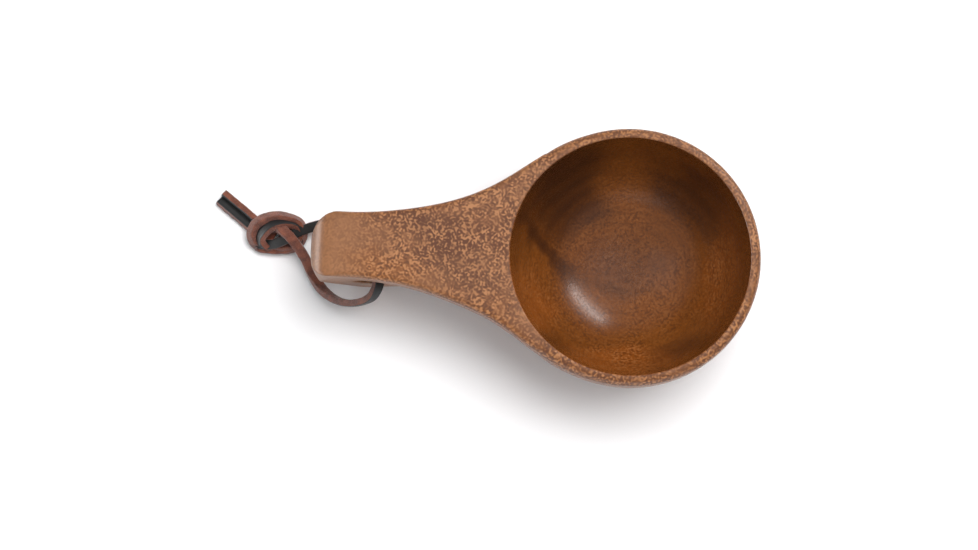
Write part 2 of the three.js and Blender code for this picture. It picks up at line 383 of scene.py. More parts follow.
@dataclass(frozen=True)
class OiledWood:
    """Oiled, close-figured hardwood: short golden flecks in a darker ground, with darker heartwood clouds,
    and painted light, shade and sheen.
    """

    name: str = "oiled_wood"
    shade: Colour = linear(80, 44, 24)
    ground: Colour = linear(106, 62, 32)
    golden: Colour = linear(126, 73, 26)
    # Pale wood for broad bands and for the tip, where it also stands for painted sheen.
    pale_and_sheen: Colour = linear(135, 89, 54)
    fleck: Colour = linear(176, 120, 74)
    # Dark heartwood, pores and gaps, and also painted shade in the finger hole and on the bowl's back wall.
    heart_and_shade: Colour = linear(50, 27, 15)
    hollow: Colour = linear(106, 57, 16)
    hollow_pale: Colour = linear(117, 65, 21)
    # Amber wood, partly painted light on the bowl's lit front and left walls.
    amber_and_light: Colour = linear(142, 75, 24)
    fleck_scale: float = 0.57
    fleck_frequency: float = 1.35
    cloud_bend: float = 22.0
    ring_bend: float = 5.0
    fleck_bend: float = 0.8
    roughness: float = 0.4
    relief: float = 0.04 * MM

    @staticmethod
    def _clouds(g: Graph, at: Signal, blotches: Sequence[Blotch]) -> Signal:
        """Where the patches are.

        Args:
            g: The graph.
            at: The place, in millimetres.
            blotches: The patches.

        Returns:
            From 0 outside them all to each one's strength in its middle.
        """
        total: Any = 0.0
        for spot in blotches:
            values = {
                "Vector": at,
                "Location": (*spot.centre, spot.level),
                "Rotation": (0.0, 0.0, math.radians(spot.turn)),
                "Scale": (*spot.reach, spot.rise),
            }
            local = g.node("ShaderNodeMapping", {"vector_type": "TEXTURE"}, values)
            away = g.node("ShaderNodeVectorMath", {"operation": "LENGTH"}, {0: local}, "Value")
            cover = away.step(1.25, 0.25) * spot.strength
            total = cover + total * (1.0 - cover) if isinstance(total, Signal) else cover
        return total

    @staticmethod
    def _turned(x: Signal, y: Signal, z: Signal, cut: Hollows) -> Signal:
        """Where the wood is the bowl's inside.

        Args:
            x: The place, in millimetres.
            y: The same.
            z: The same.
            cut: The cup's hollows.

        Returns:
            From 0 outside the bowl to 1 in it.
        """
        radius = (x * x + y * y).root()
        drop = (cut.rim + 0.6 - z) / (cut.bowl_depth + 0.6)
        out = (radius / (cut.mouth_radius + 0.5)) ** cut.fullness + drop**cut.fullness
        return out.step(1.03, 1.0) * z.step(cut.rim + 0.1, cut.rim - 0.4)

    @staticmethod
    def _hole_shade(x: Signal, y: Signal, z: Signal, cut: Hollows) -> Signal:
        """Where the finger hole's inside is, which is painted dark as shade.

        Args:
            x: The place, in millimetres.
            y: The same.
            z: The same.
            cut: The cup's hollows.

        Returns:
            From 0 outside the hole to 1 in it.
        """
        middle_x, middle_z = cut.hole_middle
        past = ((x - middle_x).magnitude() - cut.hole_straight).at_least(0.0)
        off = ((z - middle_z) ** 2.0 + past * past).root()
        deep = y.magnitude().step(cut.hole_reach, cut.hole_reach - 2.0)
        return off.step(cut.hole_radius + 1.2, cut.hole_radius + 0.3) * deep

    def _flecks(self, g: Graph, at: Signal) -> Signal:
        """The short, worm-like figure of the wood.

        Args:
            g: The graph.
            at: The place, in millimetres.

        Returns:
            High on the flecks and low in the gaps between them.
        """
        bent = g.vector("ADD", at, g.scaled(g.wander(at, 0.25, 1.0), self.fleck_bend))
        values = {
            "Vector": bent,
            "Scale": self.fleck_scale,
            "Frequency": self.fleck_frequency,
            "Anisotropy": 0.0,
        }
        return g.node("ShaderNodeTexGabor", {"gabor_type": "3D"}, values, "Value")

    def dress(self, cut: Hollows) -> bpy.types.Material:
        """Makes the material.

        Args:
            cut: The cup's hollows, which are coloured apart from its outside, the finger hole's inside with
                painted shade.

        Returns:
            The material.
        """
        g = Graph(self.name)
        at = g.place()
        axes = g.make("ShaderNodeSeparateXYZ", {}, {0: at})
        x, y, z = (Signal(g, axes.outputs[i]) for i in range(3))
        wander = g.wander(at, 0.05, 3.0)
        drift = g.vector("ADD", at, g.scaled(wander, self.cloud_bend))
        turned = self._turned(x, y, z, cut)
        hole_shade = self._hole_shade(x, y, z, cut)

        # The ground: broad bands along the handle, a paler tip that is partly painted sheen of the rounded
        # end, and the shaded and golden clouds.
        broad = g.noise(g.vector("MULTIPLY", drift, (0.35, 1.0, 1.0)), 0.05, 3.0, 0.55)
        band = g.noise(g.vector("MULTIPLY", drift, (0.3, 1.0, 1.0)), 0.17, 2.0, 0.5)
        pale_tip_and_sheen = (x + 8.0 * (broad - 0.5)).step(-92.0, -108.0)
        base = g.mix(broad.step(0.3, 0.7) * 0.6, self.ground, self.pale_and_sheen)
        base = g.mix(pale_tip_and_sheen * 0.85, base, self.pale_and_sheen)
        base = g.mix(band.step(0.5, 0.72) * 0.3, base, self.shade)
        base = g.mix(self._clouds(g, drift, SHADED), base, self.shade)
        base = g.mix(self._clouds(g, drift, GILDED), base, self.golden)

        # The flecks and the gaps between them, fainter toward the tip, as the painted sheen there washes them
        # out.
        worms = self._flecks(g, at)
        patchy = g.noise(drift, 0.09, 2.0).step(0.3, 0.6)
        quiet = 1.0 - 0.75 * pale_tip_and_sheen
        lively = worms.step(0.46, 0.66) * (0.45 + 0.55 * patchy) * quiet
        gaps = worms.step(0.5, 0.34) * (0.4 + 0.6 * patchy) * quiet
        outer = g.mix(lively * 0.75, base, self.fleck)
        outer = g.mix(gaps * 0.75, outer, self.shade)

        # The bowl's inside: turned wood with growth rings, amber clouds that are partly painted light on the
        # lit front wall, and darker clouds that are partly heartwood and partly painted shade on the back
        # wall.
        rings = g.node(
            "ShaderNodeTexWave",
            {"wave_type": "RINGS", "rings_direction": "Z", "wave_profile": "SIN"},
            {
                "Vector": g.vector("ADD", at, g.scaled(wander, self.ring_bend)),
                "Scale": 0.07,
                "Distortion": 1.5,
                "Detail": 2.0,
            },
        )
        amber_and_light = self._clouds(g, drift, AMBER_AND_LIGHT)
        heartwood_and_shade = self._clouds(g, drift, DARK_HEART_AND_SHADE)
        bowl = g.mix(broad.step(0.3, 0.7), self.hollow, self.hollow_pale)
        bowl = g.mix(amber_and_light * 0.8, bowl, self.amber_and_light)
        bowl = g.mix(lively * (0.14 + 0.36 * amber_and_light), bowl, self.fleck)
        bowl = g.mix(gaps * 0.4, bowl, self.heart_and_shade)
        bowl = g.mix(heartwood_and_shade * 0.85 + 0.1 * rings, bowl, self.heart_and_shade)
        colour = g.mix(turned, outer, bowl)
        # The finger hole's inside is painted dark as shade, and is kept rough and without coat.
        colour = g.mix(hole_shade * 0.8, colour, self.heart_and_shade)

        # Fine pores along the grain.
        pores = g.noise(g.vector("MULTIPLY", at, (0.35, 1.6, 1.6)), 1.5, 2.0, 0.6)
        colour = g.mix(pores.step(0.62, 0.78) * 0.25, colour, self.heart_and_shade)
        rough = self.roughness + 0.12 * (g.noise(at, 0.5, 3.0) - 0.5)
        rough = rough - 0.14 * turned + 0.05 * gaps + 0.5 * hole_shade
        values = {
            "Base Color": colour,
            "Roughness": rough,
            "IOR": 1.46,
            "Specular IOR Level": 0.4,
            "Coat Weight": 0.1 - 0.1 * hole_shade,
            "Coat Roughness": 0.22,
        }
        return g.finish(values, 0.5 * worms + 0.5 * pores, self.relief)


class LaceFace(Enum):
    """The two sides of the lace."""

    SUEDE = 0
    GRAIN = 1


@dataclass(frozen=True)
class LaceLeather:
    """A cut leather lace: brown, napped suede on its flesh side and edges, and a smooth black grain side."""

    face: LaceFace
    suede: Colour = linear(122, 66, 46)
    suede_dark: Colour = linear(84, 42, 30)
    suede_pale: Colour = linear(150, 92, 68)
    black: Colour = linear(14, 13, 13)
    scuffed: Colour = linear(30, 27, 27)
    nap_depth: float = 0.3 * MM
    grain_depth: float = 0.08 * MM

    def dress(self) -> bpy.types.Material:
        """Makes the material of this side.

        Returns:
            The material.
        """
        g = Graph("lace_leather_" + self.face.name.lower())
        at = g.place()
        if self.face is LaceFace.SUEDE:
            nap = g.noise(at, 2.6, 3.0, 0.65)
            patch = g.noise(at, 0.35, 2.0, 0.5)
            colour = g.mix(patch.step(0.3, 0.7), self.suede_dark, self.suede)
            colour = g.mix(nap.step(0.45, 0.75) * 0.6, colour, self.suede_pale)
            colour = g.mix(nap.step(0.45, 0.28) * 0.6, colour, self.suede_dark)
            values = {
                "Base Color": colour,
                "Roughness": 0.8 + 0.15 * nap,
                "Sheen Weight": 0.25,
                "Sheen Roughness": 0.5,
            }
            return g.finish(values, nap, self.nap_depth)
        cells = {"Vector": at, "Scale": 2.2, "Randomness": 1.0}
        pebble = g.node("ShaderNodeTexVoronoi", {}, cells, "Distance")
        wear = g.noise(at, 0.8, 3.0, 0.6)
        colour = g.mix(wear.step(0.55, 0.8) * 0.5, self.black, self.scuffed)
        values = {"Base Color": colour, "Roughness": 0.4 + 0.25 * wear}
        return g.finish(values, pebble * 0.5 + wear * 0.5, self.grain_depth)


@dataclass(frozen=True)
class PaleTable:
    """The plain white table top."""

    colour: Colour = (0.93, 0.925, 0.93)
    darkening: float = 0.985
    roughness: float = 0.7

    def dress(self) -> bpy.types.Material:
        """Makes the material.

        Returns:
            The material.
        """
        g = Graph("pale_table")
        soft = g.noise(g.place(), 0.02, 2.0)
        colour = g.mix(soft, self.colour, tuple(c * self.darkening for c in self.colour))
        return g.finish({"Base Color": colour, "Roughness": self.roughness})


# -------------------------------------------------------------------------------------------------- geometry


def mesh_object(name: str, vertices: Points, faces: Sequence[Sequence[int]]) -> bpy.types.Object:
    """Makes a smooth-shaded mesh object in the scene.

    Args:
        name: The object's name.
        vertices: Points in metres.
        faces: Corner numbers of each face.

    Returns:
        The object.
    """
    mesh = bpy.data.meshes.new(name)
    mesh.from_pydata(np.asarray(vertices, float).tolist(), [], [list(map(int, face)) for face in faces])
    mesh.validate()
    mesh.shade_smooth()
    made = bpy.data.objects.new(name, mesh)
    bpy.context.scene.collection.objects.link(made)
    return made


def smooth_min(a: np.ndarray, b: np.ndarray, reach: Any) -> np.ndarray:
    """The lower of two fields, blended where they are nearly equal.

    Args:
        a: One field's values.
        b: The other's.
        reach: Difference over which they blend.

    Returns:
        The blended values.
    """
    reach = np.maximum(reach, 1e-6)
    share = np.maximum(reach - np.abs(a - b), 0.0) / reach
    return np.minimum(a, b) - share * share * reach * 0.25


def smooth_max(a: np.ndarray, b: np.ndarray, reach: Any) -> np.ndarray:
    """The higher of two fields, blended where they are nearly equal: smooth_min upside down."""
    return -smooth_min(-a, -b, reach)


def ramp(value: np.ndarray, low: float, high: float) -> np.ndarray:
    """A smooth rise from 0 at low to 1 at high."""
    share = np.clip((value - low) / (high - low), 0.0, 1.0)
    return share * share * (3 - 2 * share)


def hump(value: np.ndarray, centre: float, reach: float) -> np.ndarray:
    """A bell that is 1 at the centre and fades over the reach to both sides."""
    return np.exp(-(((value - centre) / reach) ** 2))


def arc(
    centre: tuple[float, float], radius: float, start: float, end: float, steps: int = 24
) -> list[tuple[float, float]]:
    """Points along an arc.

    Args:
        centre: The arc's centre.
        radius: Its radius.
        start: First angle in radians.
        end: Last angle.
        steps: Number of chords.

    Returns:
        The points, both ends among them.
    """
    angles = np.linspace(start, end, steps + 1)
    return [(centre[0] + radius * math.cos(a), centre[1] + radius * math.sin(a)) for a in angles]


def bezier(corners: Sequence[tuple[float, float]], steps: int = 24) -> list[tuple[float, float]]:
    """Points along a quadratic or cubic curve.

    Args:
        corners: Its three or four control points.
        steps: Number of chords.

    Returns:
        The points, both ends among them.
    """
    found = []
    for t in np.linspace(0.0, 1.0, steps + 1):
        row = [np.array(c, float) for c in corners]
        while len(row) > 1:
            row = [a * (1 - t) + b * t for a, b in zip(row, row[1:])]
        found.append(tuple(row[0]))
    return found


class Outline:
    """A closed flat outline whose signed distance, negative inside, can be read anywhere."""

    def __init__(
        self, corners: Sequence[tuple[float, float]], margin: float = 8.0, pitch: float = 0.5
    ) -> None:
        """Tabulates the distance on a grid around the outline.

        Args:
            corners: The outline, in millimetres.
            margin: How far the grid runs past the outline.
            pitch: The grid's spacing.
        """
        ring = np.array(corners, float)
        self.low = ring.min(0) - margin
        self.pitch = pitch
        self.count = np.ceil((ring.max(0) + margin - self.low) / pitch).astype(int) + 1
        u, v = (self.low[i] + pitch * np.arange(self.count[i]) for i in range(2))
        at = np.stack(np.meshgrid(u, v, indexing="ij"), -1).reshape(-1, 2)
        self.table = self._distance(ring, at).reshape(self.count)

    @staticmethod
    def _distance(ring: Points, at: Points) -> np.ndarray:
        """Signed distance from a polygon.

        Args:
            ring: The polygon's corners.
            at: Where the distance is wanted.

        Returns:
            The distance at each place.
        """
        best = np.full(len(at), np.inf)
        crossings = np.zeros(len(at), int)
        for a, b in zip(ring, np.roll(ring, -1, axis=0)):
            edge, span = b - a, at - a
            long = float(edge @ edge)
            if long < 1e-12:
                continue
            share = np.clip(span @ edge / long, 0.0, 1.0)
            gap = span - share[:, None] * edge
            best = np.minimum(best, np.einsum("ij,ij->i", gap, gap))
            above = (a[1] > at[:, 1]) != (b[1] > at[:, 1])
            if a[1] != b[1]:
                crossings += above & (at[:, 0] < a[0] + (at[:, 1] - a[1]) * edge[0] / edge[1])
        return np.sqrt(best) * np.where(crossings % 2 == 1, -1.0, 1.0)

    def distance(self, u: np.ndarray, v: np.ndarray) -> np.ndarray:
        """Reads the table between its grid points.

        Args:
            u: First coordinates.
            v: Second coordinates.

        Returns:
            The signed distance at each place.
        """
        s = np.clip((u - self.low[0]) / self.pitch, 0, self.count[0] - 1.001)
        t = np.clip((v - self.low[1]) / self.pitch, 0, self.count[1] - 1.001)
        i, j = s.astype(int), t.astype(int)
        a, b = s - i, t - j
        table = self.table
        near = table[i, j] * (1 - a) + table[i + 1, j] * a
        far = table[i, j + 1] * (1 - a) + table[i + 1, j + 1] * a
        return near * (1 - b) + far * b


def beside(index: Points, axis: int, du: int, dv: int) -> Points:
    """The grid cells beside edges of the grid.

    Args:
        index: The edges' first grid points.
        axis: The direction that the edges run in.
        du: Steps back along the first of the other two directions.
        dv: Steps back along the second.

    Returns:
        The cells' numbers.
    """
    cell = index.copy()
    u, v = (k for k in range(3) if k != axis)
    cell[:, u] -= du
    cell[:, v] -= dv
    return cell


def settled(field: Field, corners: Points) -> Points:
    """Moves a mesh's corners along the field's slope onto the surface where it is zero."""
    for _ in range(SETTLE_ROUNDS):
        here = field(corners)
        slope = np.stack([field(corners + PROBE * e) - here for e in np.eye(3)], 1) / PROBE
        length = np.maximum(np.einsum("ij,ij->i", slope, slope), FLATTEST)
        corners = corners - np.clip(here / length, -LONGEST_STEP, LONGEST_STEP)[:, None] * slope
    return corners


def skin(field: Field, low: Points, high: Points, pitch: float) -> tuple[Points, Points]:
    """Meshes the surface where a field is zero, with quads whose corners lie on that surface.

    Args:
        field: Negative inside.
        low: Lowest corner of the region, in millimetres.
        high: Highest corner.
        pitch: Size of the quads.

    Returns:
        The corners and the quads, turned outwards.
    """
    axes = [np.arange(a, b + pitch, pitch) for a, b in zip(low, high)]
    grid = np.stack(np.meshgrid(*axes, indexing="ij"), -1)
    values = field(grid.reshape(-1, 3)).reshape(grid.shape[:3])
    size = np.array(values.shape) - 1
    total = np.zeros((*size, 3))
    count = np.zeros(size)
    edges = []
    for axis in range(3):
        step = np.eye(3, dtype=int)[axis]
        a = values[tuple(slice(0, n - s) for n, s in zip(values.shape, step))]
        b = values[tuple(slice(s, None) for s in step)]
        crossed = (a < 0) != (b < 0)
        index = np.argwhere(crossed)
        va, vb = a[crossed], b[crossed]
        point = index.astype(float)
        point[:, axis] += va / (va - vb)
        edges.append((index, va < 0))
        for du in (0, 1):
            for dv in (0, 1):
                cell = beside(index, axis, du, dv)
                kept = ((cell >= 0) & (cell < size)).all(1)
                where = tuple(cell[kept].T)
                np.add.at(total, where, point[kept])
                np.add.at(count, where, 1)
    used = count > 0
    number = np.full(size, -1)
    number[used] = np.arange(used.sum())
    corners = np.array(low) + pitch * total[used] / count[used][:, None]
    quads = []
    for axis, (index, inside_first) in enumerate(edges):
        turn = ((0, 0), (1, 0), (1, 1), (0, 1))
        quad = np.stack([number[tuple(beside(index, axis, du, dv).T)] for du, dv in turn], 1)
        flip = inside_first if axis == 1 else ~inside_first
        quad[flip] = quad[flip][:, ::-1]
        quads.append(quad)
    return settled(field, corners), np.concatenate(quads)


def spline(points: Points, steps: int, fine: int = 24) -> Points:
    """A smooth curve through points, evenly spaced along its length.

    Args:
        points: Rows that the curve goes through; the first three columns are a place.
        steps: Number of spans.
        fine: Number of steps between two points while the length is measured.

    Returns:
        steps + 1 rows along the curve.
    """
    rows = np.asarray(points, float)
    ends = np.vstack([2 * rows[0] - rows[1], rows, 2 * rows[-1] - rows[-2]])
    gaps = np.sqrt(np.linalg.norm(np.diff(ends[:, :3], axis=0), axis=1)) + 1e-9
    found = []
    for i in range(1, len(ends) - 2):
        p0, p1, p2, p3 = ends[i - 1 : i + 3]
        d0, d1, d2 = gaps[i - 1 : i + 2]
        m1 = ((p1 - p0) / d0 - (p2 - p0) / (d0 + d1) + (p2 - p1) / d1) * d1
        m2 = ((p2 - p1) / d1 - (p3 - p1) / (d1 + d2) + (p3 - p2) / d2) * d1
        t = np.linspace(0, 1, fine, endpoint=False)[:, None]
        found.append(
            (2 * t**3 - 3 * t**2 + 1) * p1 + (t**3 - 2 * t**2 + t) * m1
            + (-2 * t**3 + 3 * t**2) * p2 + (t**3 - t**2) * m2
        )
    line = np.vstack([*found, rows[-1:]])
    along = np.concatenate([[0], np.cumsum(np.linalg.norm(np.diff(line[:, :3], axis=0), axis=1))])
    wanted = np.linspace(0, along[-1], steps + 1)
    return np.stack([np.interp(wanted, along, column) for column in line.T], 1)


def unit(vectors: Points) -> Points:
    """Rows scaled to length 1."""
    return vectors / np.maximum(np.linalg.norm(vectors, axis=-1, keepdims=True), 1e-12)


# ------------------------------------------------------------------------------------------------------ lace


class Half(Enum):
    """The two halves of the lace, each from the middle of the finger hole to its free end."""

    FRONT = "lace_front"
    BACK = "lace_back"


# Each row is a place on the centre line in metres, then the direction that the black side faces.
FRONT_ROUTE = (
    (-0.0946, -0.0002, 0.0276, 0.3, 0.0, 1.0),
    (-0.0946, -0.0072, 0.0276, 0.4, 0.0, 1.0),
    (-0.0951, -0.0123, 0.0274, 0.6, -0.5, 0.8),
    (-0.0973, -0.0158, 0.0246, 0.6, -0.8, 0.4),
    (-0.1017, -0.0172, 0.0196, 0.45, -0.9, 0.2),
    (-0.1073, -0.0170, 0.0138, 0.2, -1.0, 0.1),
    (-0.1128, -0.0148, 0.0086, 0.0, -1.0, -0.1),
    (-0.1180, -0.0106, 0.0050, -0.2, -0.7, -0.6),
    (-0.1222, -0.0046, 0.0042, -0.1, -0.2, -0.9),
    (-0.1250, 0.0009, 0.0054, 0.1, 0.0, -1.0),
    (-0.1277, 0.0048, 0.0074, 0.2, 0.0, -1.0),
    (-0.1304, 0.0079, 0.0092, 0.1, 0.0, -1.0),
    (-0.1332, 0.0106, 0.0094, -0.2, 0.0, -1.0),
    (-0.1360, 0.0126, 0.0076, -0.6, 0.0, -0.8),
    (-0.1383, 0.0127, 0.0044, -0.6, 0.2, -0.8),
    (-0.1404, 0.0097, 0.0026, 0.0, 0.1, -1.0),
    (-0.1434, 0.0066, 0.0026, 0.4, 0.4, -0.9),
    (-0.1456, 0.0071, 0.0040, 0.7, 0.3, -0.7),
    (-0.1468, 0.0101, 0.0058, 0.7, 0.0, -0.7),
    (-0.1453, 0.0137, 0.0070, 0.5, -0.4, -0.8),
    (-0.1415, 0.0162, 0.0078, 0.2, -0.6, -0.8),
    (-0.1368, 0.0172, 0.0082, 0.0, -0.7, -0.7),
    (-0.1319, 0.0166, 0.0078, -0.2, -0.8, -0.6),
    (-0.1280, 0.0151, 0.0062, -0.6, -0.7, -0.5),
    (-0.1268, 0.0121, 0.0046, -0.9, -0.1, -0.5),
    (-0.1275, 0.0088, 0.0038, -0.8, 0.5, -0.4),
    (-0.1301, 0.0061, 0.0032, -0.3, 0.8, -0.4),
    (-0.1339, 0.0053, 0.0028, 0.0, 0.8, -0.5),
    (-0.1379, 0.0059, 0.0024, 0.1, 0.6, -0.1),
    (-0.1412, 0.0086, 0.0020, 0.3, 0.3, 0.6),
    (-0.1436, 0.0106, 0.0020, 0.2, 0.25, 0.95),
    (-0.1459, 0.0124, 0.0019, 0.2, 0.25, 0.95),
    (-0.1483, 0.0143, 0.0018, 0.2, 0.25, 0.95),
    (-0.1548, 0.0194, 0.0018, 0.2, 0.25, 0.95),
    (-0.1607, 0.0240, 0.0018, 0.2, 0.25, 0.95),
)
BACK_ROUTE = (
    (-0.0946, 0.0002, 0.0276, 0.3, 0.0, 1.0),
    (-0.0946, 0.0075, 0.0276, 0.4, 0.0, 1.0),
    (-0.0948, 0.0124, 0.0275, 0.5, 0.5, 0.8),
    (-0.0974, 0.0149, 0.0244, 0.5, 0.8, 0.5),
    (-0.1023, 0.0159, 0.0190, 0.3, 0.9, 0.3),
    (-0.1083, 0.0164, 0.0130, 0.2, 0.8, 0.5),
    (-0.1143, 0.0162, 0.0082, 0.2, 0.4, 0.9),
    (-0.1195, 0.0151, 0.0056, 0.2, -0.1, 1.0),
    (-0.1243, 0.0136, 0.0054, 0.2, -0.2, 1.0),
    (-0.1281, 0.0118, 0.0062, 0.1, -0.2, 1.0),
    (-0.1318, 0.0094, 0.0062, 0.1, -0.2, 1.0),
    (-0.1357, 0.0074, 0.0054, 0.0, -0.2, 1.0),
    (-0.1393, 0.0065, 0.0042, -0.1, -0.2, 1.0),
    (-0.1425, 0.0066, 0.0032, -0.4, -0.1, 1.0),
    (-0.1446, 0.0066, 0.0026, -1.0, 0.0, 0.1),
    (-0.1436, 0.0056, 0.0022, -0.2, 0.1, -1.0),
    (-0.1398, 0.0052, 0.0022, 0.0, 0.2, -1.0),
    (-0.1349, 0.0053, 0.0022, 0.0, 0.2, -1.0),
    (-0.1304, 0.0063, 0.0026, 0.4, -0.2, -0.9),
    (-0.1278, 0.0089, 0.0034, 0.9, -0.2, -0.1),
    (-0.1276, 0.0118, 0.0050, 0.8, 0.1, 0.5),
    (-0.1293, 0.0140, 0.0068, 0.5, 0.6, 0.6),
    (-0.1324, 0.0148, 0.0080, 0.2, 0.6, 0.8),
    (-0.1359, 0.0143, 0.0087, 0.0, 0.6, 0.8),
    (-0.1393, 0.0126, 0.0087, -0.3, 0.5, 0.8),
    (-0.1419, 0.0103, 0.0078, -0.5, 0.3, 0.8),
    (-0.1431, 0.0081, 0.0064, -0.7, 0.1, 0.7),
    (-0.1425, 0.0064, 0.0048, -0.7, -0.3, 0.5),
    (-0.1400, 0.0060, 0.0032, -0.1, -0.6, -0.6),
    (-0.1362, 0.0078, 0.0022, 0.4, -0.5, -0.7),
    (-0.1330, 0.0106, 0.0020, 0.3, 0.1, -0.9),
    (-0.1324, 0.0135, 0.0020, -0.2, 0.3, -0.9),
    (-0.1352, 0.0153, 0.0020, -0.3, 0.0, -0.9),
    (-0.1388, 0.0146, 0.0020, 0.2, -0.6, -0.6),
    (-0.1422, 0.0142, 0.0021, 0.4, -0.8, -0.1),
    (-0.1464, 0.0165, 0.0022, 0.5, -0.8, 0.1),
    (-0.1530, 0.0217, 0.0022, 0.5, -0.8, 0.1),
    (-0.1592, 0.0264, 0.0022, 0.5, -0.8, 0.1),
)


@dataclass
class Lace:
    """The leather lace, looped through the finger hole, its two halves tied together in one doubled knot."""

    width: float = 3.9 * MM
    thickness: float = 2.7 * MM
    corner: float = 0.45 * MM
    facet: float = 0.7 * MM
    steps: int = 260
    fray: float = 0.10 * MM
    smooth_fray: float = 0.35
    seed: int = 7
    table_gap: float = 0.05 * MM

    def build(self) -> list[bpy.types.Object]:
        """Builds both halves and says what they are.

        Returns:
            The two pieces.
        """
        leather = [LaceLeather(face).dress() for face in LaceFace]
        front = self._half(Half.FRONT, FRONT_ROUTE, leather)
        back = self._half(Half.BACK, BACK_ROUTE, leather)
        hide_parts("lace_front_strand", "lace_front_tail", "lace_knot")
        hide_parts("lace_back_strand", "lace_back_tail")
        return [front, back]

    def _section(self) -> tuple[Points, np.ndarray]:
        """The lace's cut across: a flat strip with soft corners.

        Returns:
            Offsets along the width and towards the black side, and whether the stretch after each is black.
        """
        half_w, half_t, r = self.width / 2, self.thickness / 2, self.corner
        offsets = []
        for turn, (sx, sy) in enumerate(((1, 1), (-1, 1), (-1, -1), (1, -1))):
            centre = (sx * (half_w - r), sy * (half_t - r))
            offsets += arc(centre, r, turn * math.pi / 2, (turn + 1) * math.pi / 2, 3)
        ring = []
        for a, b in zip(offsets, offsets[1:] + offsets[:1]):
            long = math.dist(a, b)
            parts = max(1, round(long / self.facet))
            ring += [tuple(np.array(a) + (np.array(b) - np.array(a)) * i / parts) for i in range(parts)]
        points = np.array(ring)
        middle = (points + np.roll(points, -1, axis=0)) / 2
        return points, middle[:, 1] > half_t - 0.35 * r

    def _surface(self, line: Points, ring: Points, draw: np.random.Generator) -> Points:
        """Places the cut across along the centre line, roughened as cut leather is.

        Args:
            line: Places and black-side directions along the lace.
            ring: The cut's offsets.
            draw: Where the roughness is drawn from.

        Returns:
            The points, by place along the lace and place around it.
        """
        place = line[:, :3]
        along = unit(np.gradient(place, axis=0))
        up = line[:, 3:]
        up = unit(up - np.einsum("ij,ij->i", up, along)[:, None] * along)
        side = np.cross(up, along)
        rough = draw.normal(0.0, self.fray, (len(place), len(ring)))
        kernel = np.array([0.25, 0.5, 0.25])
        rough = np.apply_along_axis(lambda c: np.convolve(c, kernel, "same"), 0, rough)
        suede = ring[:, 1] < -self.thickness * 0.1
        rough *= np.where(suede, 1.0, self.smooth_fray)
        offset = ring[None] + rough[..., None] * unit(ring)[None]
        points = place[:, None] + offset[..., :1] * side[:, None] + offset[..., 1:] * up[:, None]
        points[..., 2] = np.maximum(points[..., 2], self.table_gap)
        return points

    def _half(
        self, half: Half, route: Sequence[Sequence[float]], leather: Sequence[bpy.types.Material]
    ) -> bpy.types.Object:
        """Sweeps the strip along one half's route.

        Args:
            half: Which half.
            route: Its places and black-side directions.
            leather: The materials, in the order of LaceFace.

        Returns:
            The piece, riding on the lace's body.
        """
        line = spline(np.array(route, float), self.steps)
        ring, black = self._section()
        points = self._surface(line, ring, np.random.default_rng(self.seed + len(half.value)))
        rows, sides = points.shape[:2]
        faces, looks = [], []
        for i in range(rows - 1):
            for j in range(sides):
                k = (j + 1) % sides
                faces.append((i * sides + j, (i + 1) * sides + j, (i + 1) * sides + k, i * sides + k))
                looks.append(LaceFace.GRAIN if black[j] else LaceFace.SUEDE)
        vertices = points.reshape(-1, 3)
        for row, turned in ((0, False), (rows - 1, True)):
            loop = [row * sides + j for j in range(sides)]
            middle = len(vertices)
            vertices = np.vstack([vertices, points[row].mean(0)])
            for a, b in zip(loop, loop[1:] + loop[:1]):
                faces.append((middle, b, a) if turned else (middle, a, b))
                looks.append(LaceFace.SUEDE)
        piece = mesh_object(half.value, vertices, faces)
        for material in leather:
            piece.data.materials.append(material)
        piece.data.polygons.foreach_set("material_index", [face.value for face in looks])
        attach(piece, "lace")
        return piece


# ------------------------------------------------------------------------------------------------------- cup


